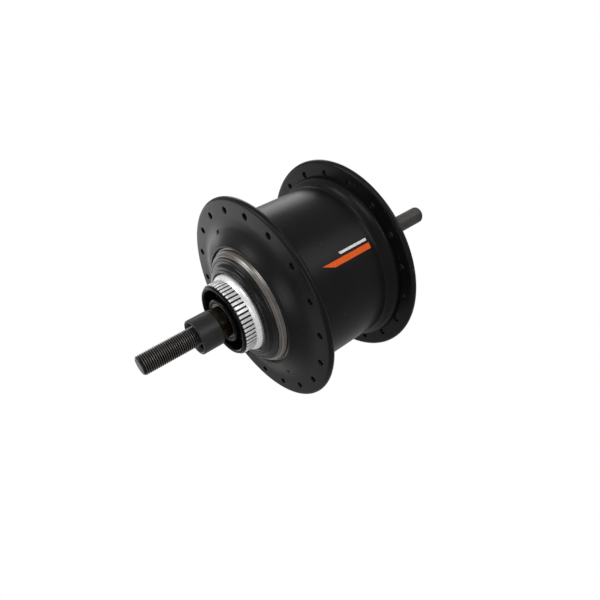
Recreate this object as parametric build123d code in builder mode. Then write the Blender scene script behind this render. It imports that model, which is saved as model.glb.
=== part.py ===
from build123d import *
import math
import os

os.makedirs("parts", exist_ok=True)

# Eight-speed internally geared bicycle hub, rear, for a roller brake. All sizes in millimetres.
# +Y runs along the axle to the brake (left) side, +X points forward, +Z points up.
# The origin is the middle of the axle. The gears stand in fourth gear, with two sun gears locked.

# ---------------------------------------------------------------- driving dimensions
axle_length = 184.0
axle_thread_r = 4.7625          # 3/8 inch axle thread, drawn plain at its outside size
axle_core_r = 4.46              # the thread's pitch radius, for the stretch under the cones and nuts
axle_free_left = 65.0           # the free threaded ends start here
axle_free_right = -66.6
axle_middle_r = 7.0
thread_clearance = 0.03         # between the axle and what is screwed on it
seat_clearance = 0.05           # between pieces that sit in each other
bore_clearance = 0.06           # running clearance of gears on pins and axle

spoke_circle_r = 46.3
spoke_count = 18
spoke_hole_r = 1.45
left_hole_start = 86.5          # degrees from +X towards +Z
right_hole_start = 76.5

shell_bore_r = 38.0
barrel_r = 41.0
flange_r = 52.2
left_flange_face = 29.75
right_flange_face = -27.25
flange_width = 3.2
left_mouth_y = 34.8
left_mouth_r = 31.25
left_opening_r = 30.2

gear_module = 0.75
pressure_angle = math.radians(25)
addendum = 0.9 * gear_module
dedendum = 1.15 * gear_module
half_backlash = 0.04            # taken off each side of every tooth
flank_steps = 3

sun_low_teeth = 36              # reduction stage: sun, planet step on it, planet step in the ring, ring
low_small_teeth = 12
low_large_teeth = 21
low_ring_teeth = 69
sun_steps_teeth = (36, 30, 24)  # step-up stage: three suns and the three steps of each planet
planet_steps_teeth = (18, 24, 30)
high_ring_teeth = 78
low_centre = (sun_low_teeth + low_small_teeth) * gear_module / 2
high_centre = (sun_steps_teeth[0] + planet_steps_teeth[0]) * gear_module / 2
tooth_width = 6.0
low_small_y = -9.0              # lower end of each row of teeth along the axle
low_large_y = -16.0
high_step_y = (2.0, 9.0, 16.0)
low_planet_angles = (60, 180, 300)
high_planet_angles = (0, 120, 240)
pin_r = 2.2

boss_teeth = 51
boss_tooth_phase = 92.56


# ---------------------------------------------------------------- helpers
def across(y, turn=0):
    """Plane square to the axle at y, facing -Y. Its local axes are +X and +Z, turned by degrees."""
    across_dir = (math.cos(math.radians(turn)), 0, math.sin(math.radians(turn)))
    return Plane(origin=(0, y, 0), x_dir=across_dir, z_dir=(0, -1, 0))


def turned(points):
    """Solid of revolution about the axle from (radius, y) points."""
    with BuildPart() as piece:
        with BuildSketch(Plane.XY):
            with BuildLine():
                Polyline(*points, close=True)
            make_face()
        revolve(axis=Axis.Y)
    return piece.part


def save(piece, label):
    """Name a finished piece and write its STEP file."""
    piece.label = label
    export_step(piece, f"parts/{label}.step")


def involute(angle):
    return math.tan(angle) - angle


def tooth_outline(teeth, inner_r, outer_r, thickness, start, centre):
    """Closed outline whose teeth run from inner_r to outer_r, one tooth centred on the start angle."""
    pitch_r = teeth * gear_module / 2
    base_r = pitch_r * math.cos(pressure_angle)
    low_r = max(inner_r, base_r)
    radii = [low_r + (outer_r - low_r) * step / flank_steps for step in range(flank_steps + 1)]
    if inner_r < base_r:
        radii = [inner_r] + radii
    flank = []
    for radius in radii:
        roll = math.acos(min(1.0, base_r / radius))
        half_angle = thickness / (2 * pitch_r) + involute(pressure_angle) - involute(roll)
        flank.append((radius, half_angle))
    points = []
    for tooth in range(teeth):
        middle = math.radians(start) + 2 * math.pi * tooth / teeth
        rising = [(radius, middle - half_angle) for radius, half_angle in flank]
        falling = [(radius, middle + half_angle) for radius, half_angle in reversed(flank)]
        for radius, angle in rising + falling:
            points.append((centre[0] + radius * math.cos(angle), centre[1] + radius * math.sin(angle)))
    return points


def outside_teeth(teeth, start, centre=(0, 0)):
    """Outline of an external gear with a tooth centred on the start angle."""
    pitch_r = teeth * gear_module / 2
    thickness = math.pi * gear_module / 2 - 2 * half_backlash
    return tooth_outline(teeth, pitch_r - dedendum, pitch_r + addendum, thickness, start, centre)


def inside_teeth(teeth, start):
    """Outline of the hollow of a ring gear with a tooth space centred on the start angle."""
    pitch_r = teeth * gear_module / 2
    space = math.pi * gear_module / 2 + 2 * half_backlash
    return tooth_outline(teeth, pitch_r - addendum, pitch_r + dedendum, space, start, (0, 0))


def polar(radius, angle):
    """Point at a radius and an angle in degrees from the first local axis."""
    return (radius * math.cos(math.radians(angle)), radius * math.sin(math.radians(angle)))


def turned_about(point, degrees, pivot):
    """Point turned about a pivot in its own plane."""
    angle = math.radians(degrees)
    dx = point[0] - pivot[0]
    dy = point[1] - pivot[1]
    new_x = pivot[0] + dx * math.cos(angle) - dy * math.sin(angle)
    new_y = pivot[1] + dx * math.sin(angle) + dy * math.cos(angle)
    return (new_x, new_y)


def angle_at_radius(low, high, radius):
    """Angle in degrees of the point on the line through low and high that stands at a radius."""
    share = (radius - math.hypot(*low)) / (math.hypot(*high) - math.hypot(*low))
    x = low[0] + share * (high[0] - low[0])
    y = low[1] + share * (high[1] - low[1])
    return math.degrees(math.atan2(y, x))


def pawl_corners(pivot, reach, half, lift):
    """Corners of a pawl arm that points to the first local axis, turned up by lift degrees."""
    flat = [(pivot[0], pivot[1] - half), (pivot[0] + reach, pivot[1] - half),
            (pivot[0] + reach, pivot[1] + half), (pivot[0], pivot[1] + half)]
    return [turned_about(corner, lift, pivot) for corner in flat]


def pawl(label, corners, pivot, heel_r, side, turn, top, length):
    """Pawl with a round heel, facing to one side at the top and then turned about the axle."""
    with BuildPart() as piece:
        with BuildSketch(across(top, turn)):
            with BuildLine():
                Polyline(*[(side * x, y) for x, y in corners], close=True)
            make_face()
            with Locations((side * pivot[0], pivot[1])):
                Circle(heel_r)
        extrude(amount=length)
    save(piece.part, label)


# ---------------------------------------------------------------- axle and what is fixed on it
axle_tip = axle_length / 2
axle_chamfer = 0.8
axle_middle_left = 33.0
axle_middle_right = -42.0

pawl_pocket_floor = 4.95
pawl_pocket_side = 2.85
pawl_pocket_tip = 2.45
sun_pawl_length = 4.0
sun_pawl_ys = (low_small_y, high_step_y[0], high_step_y[1], high_step_y[2])
# A reduction sun is pushed backwards by its planets and a step-up sun forwards, so the pawls face
# opposite ways. The tip side is the sign of the first local axis when the pawl stands at the top.
sun_pawl_sides = (1, -1, -1, -1)

pocket_clearance = 0.15         # at each end of a pawl in its pocket
pocket_top = 6.95
with BuildPart() as axle:
    with BuildSketch(Plane.XY):
        with BuildLine():
            Polyline(
                (0, -axle_tip),
                (axle_thread_r - axle_chamfer, -axle_tip),
                (axle_thread_r, -axle_tip + axle_chamfer),
                (axle_thread_r, axle_free_right),
                (axle_core_r, axle_free_right),
                (axle_core_r, axle_middle_right),
                (axle_middle_r, axle_middle_right),
                (axle_middle_r, axle_middle_left),
                (axle_core_r, axle_middle_left),
                (axle_core_r, axle_free_left),
                (axle_thread_r, axle_free_left),
                (axle_thread_r, axle_tip - axle_chamfer),
                (axle_thread_r - axle_chamfer, axle_tip),
                (0, axle_tip),
                close=True,
            )
        make_face()
    revolve(axis=Axis.Y)
    for pocket_y, side in zip(sun_pawl_ys, sun_pawl_sides):
        pocket_width = pawl_pocket_side + pawl_pocket_tip
        pocket_middle = side * (pawl_pocket_tip - pawl_pocket_side) / 2
        with BuildSketch(across(pocket_y + (tooth_width + sun_pawl_length) / 2 + pocket_clearance)):
            with Locations((pocket_middle, pocket_top)):
                Rectangle(pocket_width, 2 * (pocket_top - pawl_pocket_floor))
        extrude(amount=sun_pawl_length + 2 * pocket_clearance, mode=Mode.SUBTRACT)
save(axle.part, "axle")

left_ball_r = 3.175
left_ball_circle_r = 11.4
left_ball_y = 37.0
right_ball_r = 2.4
right_ball_circle_r = 30.2
right_ball_y = -28.0
driver_ball_r = 2.0
driver_ball_circle_r = 10.9
driver_ball_y = -47.0
race_gap = 0.05                 # clearance of a ball in its races

cone_bore_r = axle_core_r + thread_clearance
left_cone_end = 49.5
with BuildPart() as left_cone:
    with BuildSketch(Plane.XY):
        with BuildLine():
            Polyline(
                (cone_bore_r, axle_middle_left + 0.1),
                (9.2, axle_middle_left + 0.1),
                (9.6, axle_middle_left + 0.5),
                (9.6, 41.3),
                (9.1, 41.3),
                (9.1, left_cone_end - 0.4),
                (8.7, left_cone_end),
                (cone_bore_r, left_cone_end),
                close=True,
            )
        make_face()
        with Locations((left_ball_circle_r, left_ball_y)):
            Circle(left_ball_r + race_gap, mode=Mode.SUBTRACT)
    revolve(axis=Axis.Y)
save(left_cone.part, "left_cone")

left_cone_seal = turned([
    (9.15, 41.4), (10.4, 41.4), (10.9, 41.9), (10.9, 49.35), (10.5, 49.75), (9.9, 49.75),
    (9.9, 49.6), (9.15, 49.6),
])
save(left_cone_seal, "left_cone_seal")

left_nut_back = 49.65
left_nut_front = 54.1
nut_across_flats = 15.0
nut_chamfer = 0.4
left_nut_turn = 20
with BuildPart() as left_lock_nut:
    with BuildSketch(across(left_nut_front)):
        RegularPolygon(nut_across_flats / 2, 6, major_radius=False, rotation=left_nut_turn)
        Circle(cone_bore_r, mode=Mode.SUBTRACT)
    extrude(amount=left_nut_front - left_nut_back)
    outer_edges = left_lock_nut.edges().filter_by(GeomType.LINE).filter_by(Axis.Y, reverse=True)
    chamfer(outer_edges, length=nut_chamfer)
save(left_lock_nut.part, "left_lock_nut")

sleeve_back = 54.15
sleeve_front = 64.95
sleeve_r = 8.65
sleeve_bore_r = 6.6
sleeve_chamfer = 0.35
sleeve_drop = 0.994             # the spacer is loose and hangs a little off the middle
with BuildPart() as spacer_sleeve:
    with BuildSketch(across(sleeve_front)):
        with Locations((0, -sleeve_drop)):
            Circle(sleeve_r)
            Circle(sleeve_bore_r, mode=Mode.SUBTRACT)
    extrude(amount=sleeve_front - sleeve_back)
    end_edges = spacer_sleeve.edges().filter_by(GeomType.CIRCLE)
    chamfer(end_edges, length=sleeve_chamfer)
save(spacer_sleeve.part, "spacer_sleeve")

right_cone_front = -60.0
with BuildPart() as right_cone:
    with BuildSketch(Plane.XY):
        with BuildLine():
            Polyline(
                (cone_bore_r, axle_middle_right - 0.1),
                (8.6, axle_middle_right - 0.1),
                (9.5, axle_middle_right - 1.0),
                (9.5, -52.0),
                (8.2, -52.2),
                (8.2, right_cone_front + 0.4),
                (7.8, right_cone_front),
                (cone_bore_r, right_cone_front),
                close=True,
            )
        make_face()
        with Locations((driver_ball_circle_r, driver_ball_y)):
            Circle(driver_ball_r + race_gap, mode=Mode.SUBTRACT)
    revolve(axis=Axis.Y)
save(right_cone.part, "right_cone")

washer_back = right_cone_front - 0.05
washer_thickness = 1.2
washer_r = 8.4
with BuildPart() as right_lock_washer:
    with BuildSketch(across(washer_back)):
        Circle(washer_r)
        Circle(cone_bore_r, mode=Mode.SUBTRACT)
    extrude(amount=washer_thickness)
save(right_lock_washer.part, "right_lock_washer")

right_nut_back = washer_back - washer_thickness - 0.05
right_nut_front = -66.5
with BuildPart() as right_lock_nut:
    with BuildSketch(across(right_nut_back)):
        RegularPolygon(nut_across_flats / 2, 6, major_radius=False)
        Circle(cone_bore_r, mode=Mode.SUBTRACT)
    extrude(amount=right_nut_back - right_nut_front)
    nut_edges = right_lock_nut.edges().filter_by(GeomType.LINE).filter_by(Axis.Y, reverse=True)
    chamfer(nut_edges, length=nut_chamfer)
save(right_lock_nut.part, "right_lock_nut")

# ---------------------------------------------------------------- hub shell
shoulder_r = 44.6               # rounded ring where the barrel meets the right flange
left_inner_face = left_flange_face - flange_width
right_inner_face = right_flange_face + flange_width
rim_round = 1.3
shell_right_end = -31.0
dimple_angles = (48, 230)       # two shallow casting marks on the left cone
dimple_circle_r = 38.0
dimple_length = 3.8
dimple_width = 1.7
dimple_top = 33.0
dimple_floor = 29.7
with BuildPart() as hub_shell:
    with BuildSketch(Plane.XY):
        with BuildLine():
            # Outside, from the left mouth over the left flange, along the barrel, to the right end.
            mouth = Line((left_opening_r, left_mouth_y), (left_mouth_r, left_mouth_y))
            cone_curve = Spline(
                mouth @ 1,
                (34.6, 32.3),
                (38.3, 30.55),
                (42.5, left_flange_face),
                tangents=[(0.55, -0.85), (1, 0)],
            )
            left_face = Line(cone_curve @ 1, (flange_r - rim_round, left_flange_face))
            left_rim = ThreePointArc(
                left_face @ 1,
                (flange_r, left_flange_face - flange_width / 2),
                (flange_r - rim_round, left_inner_face),
            )
            left_back = Line(left_rim @ 1, (barrel_r + 2.6, left_inner_face))
            left_root = RadiusArc(left_back @ 1, (barrel_r, left_inner_face - 2.6), 2.6)
            barrel = Line(left_root @ 1, (barrel_r, right_inner_face + 6.4))
            shoulder_in = RadiusArc(barrel @ 1, (barrel_r + 1.3, right_inner_face + 4.9), 1.6)
            shoulder_top = RadiusArc(shoulder_in @ 1, (shoulder_r, right_inner_face + 1.2), -3.4)
            shoulder_out = Line(shoulder_top @ 1, (shoulder_r + 0.9, right_inner_face))
            right_back = Line(shoulder_out @ 1, (flange_r - rim_round, right_inner_face))
            right_rim = ThreePointArc(
                right_back @ 1,
                (flange_r, right_inner_face - flange_width / 2),
                (flange_r - rim_round, right_flange_face),
            )
            right_face = Line(right_rim @ 1, (42.5, right_flange_face))
            # Inside, back from the right end to the left mouth.
            Polyline(
                right_face @ 1,
                (41.2, -28.6),
                (40.6, shell_right_end),
                (shell_bore_r, shell_right_end),
                (shell_bore_r, 23.5),
                (left_opening_r, 27.8),
                mouth @ 0,
            )
        make_face()
    revolve(axis=Axis.Y)
    with BuildSketch(across(left_flange_face)):
        with PolarLocations(spoke_circle_r, spoke_count, start_angle=left_hole_start):
            Circle(spoke_hole_r)
    extrude(amount=flange_width, mode=Mode.SUBTRACT)
    with BuildSketch(across(right_inner_face)):
        with PolarLocations(spoke_circle_r, spoke_count, start_angle=right_hole_start):
            Circle(spoke_hole_r)
    extrude(amount=flange_width, mode=Mode.SUBTRACT)
    with BuildSketch(across(dimple_top)):
        for angle in dimple_angles:
            with Locations(Location((*polar(dimple_circle_r, angle), 0), (0, 0, angle + 90))):
                SlotOverall(dimple_length, dimple_width)
    extrude(amount=dimple_top - dimple_floor, mode=Mode.SUBTRACT)
save(hub_shell.part, "hub_shell")

# ---------------------------------------------------------------- left end of the shell
end_cap_bore_r = 20.2
left_end_cap = turned([
    (end_cap_bore_r, 30.0), (left_opening_r - seat_clearance, 30.0), (left_opening_r - seat_clearance, 33.9),
    (29.1, 34.1), (29.1, 35.3), (28.6, 35.9), (27.5, 37.1), (27.0, 37.4),
    (26.9, 37.4), (26.9, 35.2), (end_cap_bore_r, 35.2),
])
save(left_end_cap, "left_end_cap")

left_seal_cap = turned([
    (20.25, 35.25), (26.85, 35.25), (26.85, 37.7), (26.4, 37.9), (24.2, 38.3), (23.7, 38.6),
    (23.5, 39.9), (23.1, 40.2), (21.9, 40.4), (21.6, 40.8), (20.6, 40.9), (20.25, 40.6),
])
save(left_seal_cap, "left_seal_cap")

boss_bore_r = 15.95
boss_root_r = 16.95
boss_tip_r = 18.0
boss_front = 49.05
boss_groove_back = 43.15
boss_groove_length = 1.8
boss_groove_width = 0.78
with BuildPart() as brake_boss:
    with BuildSketch(Plane.XY):
        with BuildLine():
            Polyline(
                (boss_bore_r, 30.0),
                (20.1, 30.0),
                (20.1, 38.9),
                (19.6, 39.4),
                (19.6, 41.2),
                (19.2, 42.0),
                (boss_tip_r, boss_groove_back),
                (boss_tip_r, boss_front - 0.7),
                (17.4, boss_front),
                (boss_bore_r, boss_front),
                close=True,
            )
        make_face()
    revolve(axis=Axis.Y)
    with BuildSketch(across(boss_front)):
        with PolarLocations(0, boss_teeth, start_angle=boss_tooth_phase + 180 / boss_teeth):
            with Locations((boss_root_r + boss_groove_length / 2, 0)):
                SlotOverall(boss_groove_length, boss_groove_width)
    extrude(amount=boss_front - boss_groove_back, mode=Mode.SUBTRACT)
save(brake_boss.part, "brake_boss")

cup_r = boss_bore_r - seat_clearance
with BuildPart() as left_ball_cup:
    with BuildSketch(Plane.XY):
        with BuildLine():
            Polyline((13.4, 31.5), (cup_r, 31.5), (cup_r, 41.2), (13.4, 41.2), close=True)
        make_face()
        with Locations((left_ball_circle_r, left_ball_y)):
            Circle(left_ball_r + race_gap, mode=Mode.SUBTRACT)
    revolve(axis=Axis.Y)
save(left_ball_cup.part, "left_ball_cup")

left_dust_cap = turned([
    (11.3, 41.3), (cup_r, 41.3), (cup_r, 49.1), (17.0, 49.1), (17.2, 49.3), (17.1, 49.6),
    (16.7, 49.75), (15.9, 49.75), (15.5, 49.5), (15.2, 48.6), (15.0, 42.6), (14.6, 42.2), (11.3, 42.2),
])
save(left_dust_cap, "left_dust_cap")

# ---------------------------------------------------------------- ratchet, clutch ring and right ball cup
clutch_ring_bore_r = 13.85
clutch_ring = turned([
    (clutch_ring_bore_r, 26.6), (20.1, 26.6), (20.1, 29.95), (clutch_ring_bore_r, 29.95),
])
save(clutch_ring, "clutch_ring")

ratchet_teeth = 18
ratchet_tip_r = 33.9
ratchet_root_r = 35.1
ratchet_back = -8.0
ratchet_front = 1.0
ring_pawl_angles = (90, 210, 330)
ring_pawl_pivot = (-3.0, 32.3)  # tangential and radial place of a pawl's pivot when it stands at the top
ring_pawl_heel_r = 0.9
ring_pawl_half = 0.7
ring_pawl_reach = 6.5
ring_pawl_lift = 14.0
ring_corners = pawl_corners(ring_pawl_pivot, ring_pawl_reach, ring_pawl_half, ring_pawl_lift)
ratchet_face_gap = 0.3          # degrees between a raised pawl's tip and the face it drives
ratchet_land = 1.5              # degrees of each tooth's flat top, and of the floor of each space
ratchet_floor = 9.0
tip_face_angle = angle_at_radius(ring_corners[1], ring_corners[2], ratchet_tip_r) - ratchet_face_gap
root_face_angle = angle_at_radius(ring_corners[1], ring_corners[2], ratchet_root_r) - ratchet_face_gap
ratchet_faces = []
for tooth in range(ratchet_teeth):
    step = 360 / ratchet_teeth * tooth
    ratchet_faces.append(polar(ratchet_tip_r, tip_face_angle - ratchet_land + step))
    ratchet_faces.append(polar(ratchet_tip_r, tip_face_angle + step))
    ratchet_faces.append(polar(ratchet_root_r, root_face_angle + step))
    ratchet_faces.append(polar(ratchet_root_r, root_face_angle + ratchet_floor + step))
with BuildPart() as ratchet_ring:
    with BuildSketch(across(ratchet_front)):
        Circle(shell_bore_r - seat_clearance)
        with BuildLine():
            Polyline(*ratchet_faces, close=True)
        make_face(mode=Mode.SUBTRACT)
    extrude(amount=ratchet_front - ratchet_back)
save(ratchet_ring.part, "ratchet_ring")

cup_front = -33.6
cup_rim = -32.2                 # floor of the four wrench slots in its face
cup_slot_circle_r = 35.6
cup_slot_width = 2.6
cup_slot_length = 5.0
cup_slot_round = 0.6
with BuildPart() as right_ball_cup:
    with BuildSketch(Plane.XY):
        with BuildLine():
            Polyline(
                (31.8, -24.5),
                (shell_bore_r - seat_clearance, -24.5),
                (shell_bore_r - seat_clearance, -31.1),
                (39.6, -31.1),
                (39.6, -33.0),
                (38.9, cup_front),
                (33.2, cup_front),
                (31.8, -31.4),
                close=True,
            )
        make_face()
        with Locations((right_ball_circle_r, right_ball_y)):
            Circle(right_ball_r + race_gap, mode=Mode.SUBTRACT)
    revolve(axis=Axis.Y)
    with BuildSketch(across(cup_rim)):
        with PolarLocations(cup_slot_circle_r, 4, start_angle=45):
            RectangleRounded(cup_slot_width, cup_slot_length, cup_slot_round)
    extrude(amount=cup_rim - cup_front + 0.6, mode=Mode.SUBTRACT)
save(right_ball_cup.part, "right_ball_cup")


# ---------------------------------------------------------------- ball bearings
def balls(label, count, ball_r, circle_r, y):
    """Ring of balls, each a solid of its own, in one node."""
    with BuildPart() as ring:
        for number in range(count):
            place = polar(circle_r, 360 / count * number)
            with Locations((place[0], y, place[1])):
                Sphere(ball_r)
    save(ring.part, label)


def retainer(label, count, ball_r, circle_r, y, wall, width):
    """Thin ring with a round pocket for each ball."""
    with BuildPart() as ring:
        with BuildSketch(across(y + width / 2)):
            Circle(circle_r + wall / 2)
            Circle(circle_r - wall / 2, mode=Mode.SUBTRACT)
        extrude(amount=width)
        for number in range(count):
            place = polar(1, 360 / count * number)
            pocket_plane = Plane(origin=(0, y, 0), x_dir=(0, 1, 0), z_dir=(place[0], 0, place[1]))
            with BuildSketch(pocket_plane):
                Circle(ball_r + 0.15)
            extrude(amount=circle_r + wall, mode=Mode.SUBTRACT)
    save(ring.part, label)


balls("left_balls", 8, left_ball_r, left_ball_circle_r, left_ball_y)
retainer("left_ball_retainer", 8, left_ball_r, left_ball_circle_r, left_ball_y, 1.0, 7.5)
balls("right_balls", 20, right_ball_r, right_ball_circle_r, right_ball_y)
retainer("right_ball_retainer", 20, right_ball_r, right_ball_circle_r, right_ball_y, 1.0, 6.0)
balls("driver_balls", 12, driver_ball_r, driver_ball_circle_r, driver_ball_y)
retainer("driver_ball_retainer", 12, driver_ball_r, driver_ball_circle_r, driver_ball_y, 0.8, 5.1)

# ---------------------------------------------------------------- driver
drum_r = 30.0
drum_bore_r = 28.5
sprocket_seat_r = 17.4
sprocket_seat_back = -43.5
sprocket_seat_front = -50.2
sprocket_notch_width = 6.5
driver_bore_r = 9.0
with BuildPart() as driver:
    with BuildSketch(Plane.XY):
        with BuildLine():
            Polyline(
                (drum_bore_r, -9.8),
                (drum_r, -9.8),
                (drum_r, -24.0),
                (28.6, -24.3),
                (28.6, -33.2),
                (27.2, -33.6),
                (20.4, -33.8),
                (20.0, -34.2),
                (20.0, sprocket_seat_back),
                (sprocket_seat_r, sprocket_seat_back),
                (sprocket_seat_r, sprocket_seat_front),
                (16.6, sprocket_seat_front),
                (16.6, -51.3),
                (17.2, -51.3),
                (17.2, -52.6),
                (16.8, -53.0),
                (13.6, -53.0),
                (13.6, -50.2),
                (12.2, -50.2),
                (12.2, -43.0),
                (driver_bore_r, -42.4),
                (driver_bore_r, -21.6),
                (drum_bore_r, -21.0),
                close=True,
            )
        make_face()
        with Locations((right_ball_circle_r, right_ball_y)):
            Circle(right_ball_r + race_gap, mode=Mode.SUBTRACT)
        with Locations((driver_ball_circle_r, driver_ball_y)):
            Circle(driver_ball_r + race_gap, mode=Mode.SUBTRACT)
    revolve(axis=Axis.Y)
    with BuildSketch(across(sprocket_seat_back)):
        with PolarLocations(sprocket_seat_r, 3, start_angle=30):
            Rectangle(3.0, sprocket_notch_width)
    extrude(amount=sprocket_seat_back - sprocket_seat_front + 3, mode=Mode.SUBTRACT)
save(driver.part, "driver")

ring_seat_r = drum_bore_r - seat_clearance
with BuildPart() as reduction_ring_gear:
    with BuildSketch(across(low_large_y + tooth_width)):
        Circle(ring_seat_r)
        with BuildLine():
            Polyline(*inside_teeth(low_ring_teeth, low_planet_angles[0]), close=True)
        make_face(mode=Mode.SUBTRACT)
    extrude(amount=tooth_width)
save(reduction_ring_gear.part, "reduction_ring_gear")

driver_dust_cap = turned([
    (20.05, -34.3), (33.6, -34.3), (36.0, -34.7), (36.4, -35.2), (36.2, -35.8), (33.4, -36.3),
    (24.5, -36.6), (22.6, -38.4), (20.05, -38.4),
])
save(driver_dust_cap, "driver_dust_cap")

driver_end_seal = turned([
    (12.6, -50.3), (13.55, -50.3), (13.55, -53.1), (15.6, -53.1), (15.6, -54.6), (15.2, -55.0), (12.6, -55.0),
])
save(driver_end_seal, "driver_end_seal")

# ---------------------------------------------------------------- shift actuator ring on the right cone
actuator_bore_r = 8.2 + bore_clearance
actuator_back = -52.6
actuator_step = -57.8
actuator_front = -59.2
actuator_r = 11.2
actuator_neck_r = 10.2
actuator_lug_circle_r = 11.4
actuator_lug_start = 25
with BuildPart() as shift_actuator:
    with BuildSketch(across(actuator_back)):
        Circle(actuator_r)
        with PolarLocations(actuator_lug_circle_r, 2, start_angle=actuator_lug_start):
            RectangleRounded(1.6, 4.2, 0.6)
        Circle(actuator_bore_r, mode=Mode.SUBTRACT)
    extrude(amount=actuator_back - actuator_step)
    with BuildSketch(across(actuator_step)):
        Circle(actuator_neck_r)
        Circle(actuator_bore_r, mode=Mode.SUBTRACT)
    extrude(amount=actuator_step - actuator_front)
save(shift_actuator.part, "shift_actuator")

# ---------------------------------------------------------------- planet carrier
plate_r = 28.0
carrier_bore_r = axle_middle_r + 0.1
left_plate = (23.0, 26.0)
middle_plate = (-2.0, 1.0)
right_plate = (-20.0, -17.0)
high_pillar_circle_r = 22.5
high_pillar_r = 4.5
low_pillar_circle_r = 19.5
low_pillar_r = 4.0
clutch_roller_r = 1.5
clutch_roller_count = 6
clutch_roller_circle_r = clutch_ring_bore_r - clutch_roller_r - 0.15
clutch_star_flat = clutch_roller_circle_r - clutch_roller_r - 0.05
clutch_star_front = 29.4
pin_hole_r = pin_r + 0.02
with BuildPart() as planet_carrier:
    for plate in (left_plate, middle_plate, right_plate):
        radius = plate_r - 0.4 if plate == right_plate else plate_r
        with BuildSketch(across(plate[1])):
            Circle(radius)
        extrude(amount=plate[1] - plate[0])
    with BuildSketch(across(left_plate[0])):
        with PolarLocations(high_pillar_circle_r, 3, start_angle=high_planet_angles[0] + 60):
            Circle(high_pillar_r)
    extrude(amount=left_plate[0] - middle_plate[1])
    with BuildSketch(across(middle_plate[0])):
        with PolarLocations(low_pillar_circle_r, 3, start_angle=low_planet_angles[0] + 60):
            Circle(low_pillar_r)
    extrude(amount=middle_plate[0] - right_plate[1])
    with BuildSketch(across(clutch_star_front)):
        RegularPolygon(clutch_star_flat, clutch_roller_count, major_radius=False, rotation=30)
    extrude(amount=clutch_star_front - left_plate[1])
    with BuildSketch(across(clutch_star_front)):
        Circle(carrier_bore_r)
    extrude(amount=clutch_star_front - right_plate[0], mode=Mode.SUBTRACT)
    with BuildSketch(across(left_plate[1])):
        with PolarLocations(high_centre, 3, start_angle=high_planet_angles[0]):
            Circle(pin_hole_r)
    extrude(amount=left_plate[1] - middle_plate[0], mode=Mode.SUBTRACT)
    with BuildSketch(across(middle_plate[1])):
        with PolarLocations(low_centre, 3, start_angle=low_planet_angles[0]):
            Circle(pin_hole_r)
    extrude(amount=middle_plate[1] - right_plate[0], mode=Mode.SUBTRACT)
save(planet_carrier.part, "planet_carrier")


def pins(label, circle_r, start, top, bottom):
    """Three planet pins in one node."""
    with BuildPart() as group:
        with BuildSketch(across(top)):
            with PolarLocations(circle_r, 3, start_angle=start):
                Circle(pin_r)
        extrude(amount=top - bottom)
    save(group.part, label)


pins("step_planet_pins", high_centre, high_planet_angles[0], left_plate[1], middle_plate[0])
pins("reduction_planet_pins", low_centre, low_planet_angles[0], middle_plate[1], right_plate[0])

clutch_roller_front = 29.3
clutch_roller_length = 2.9
with BuildPart() as clutch_rollers:
    with BuildSketch(across(clutch_roller_front)):
        with PolarLocations(clutch_roller_circle_r, clutch_roller_count):
            Circle(clutch_roller_r)
    extrude(amount=clutch_roller_length)
save(clutch_rollers.part, "clutch_rollers")

clutch_cage = turned([(7.6, 29.5), (13.5, 29.5), (13.5, 29.9), (7.6, 29.9)])
save(clutch_cage, "clutch_cage")


# ---------------------------------------------------------------- planets
def planet(label, circle_r, angle, steps, bottom, top, hub_r):
    """Stepped planet whose teeth point along the radius through its centre."""
    place = polar(circle_r, angle)
    with BuildPart() as piece:
        for teeth, step_y in steps:
            with BuildSketch(across(step_y + tooth_width)):
                with BuildLine():
                    Polyline(*outside_teeth(teeth, angle, place), close=True)
                make_face()
            extrude(amount=tooth_width)
        with BuildSketch(across(top)):
            with Locations(place):
                Circle(hub_r)
        extrude(amount=top - bottom)
        with BuildSketch(across(top)):
            with Locations(place):
                Circle(pin_r + bore_clearance)
        extrude(amount=top - bottom, mode=Mode.SUBTRACT)
    save(piece.part, label)


plate_gap = 0.3                 # between a planet's end and the plate beside it
step_planet_hub_r = 4.4
reduction_planet_hub_r = 3.5
step_list = list(zip(planet_steps_teeth, high_step_y))
for number, angle in enumerate(high_planet_angles, start=1):
    planet(f"step_planet_{number}", high_centre, angle, step_list, middle_plate[1] + plate_gap,
           left_plate[0] - plate_gap, step_planet_hub_r)

low_step_list = [(low_small_teeth, low_small_y), (low_large_teeth, low_large_y)]
for number, angle in enumerate(low_planet_angles, start=1):
    planet(f"reduction_planet_{number}", low_centre, angle, low_step_list, right_plate[1] + plate_gap,
           middle_plate[0] - plate_gap, reduction_planet_hub_r)

# ---------------------------------------------------------------- sun gears and the pawls that lock them
sun_pawl_pivot = (-2.0, 5.8)    # for a pawl whose tip faces the first local axis
sun_pawl_heel_r = 0.72
sun_pawl_half = 0.55
sun_pawl_reach = 4.2
sun_pawl_lift = 16.0
sun_bore_r = axle_middle_r + bore_clearance
sun_notch_r = 8.0
sun_hub_overhang = 0.45         # each sun's hub stands out past its teeth to space it from the next
sun_hub_r = (9.4, 9.4, 9.4, 7.95)

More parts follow.
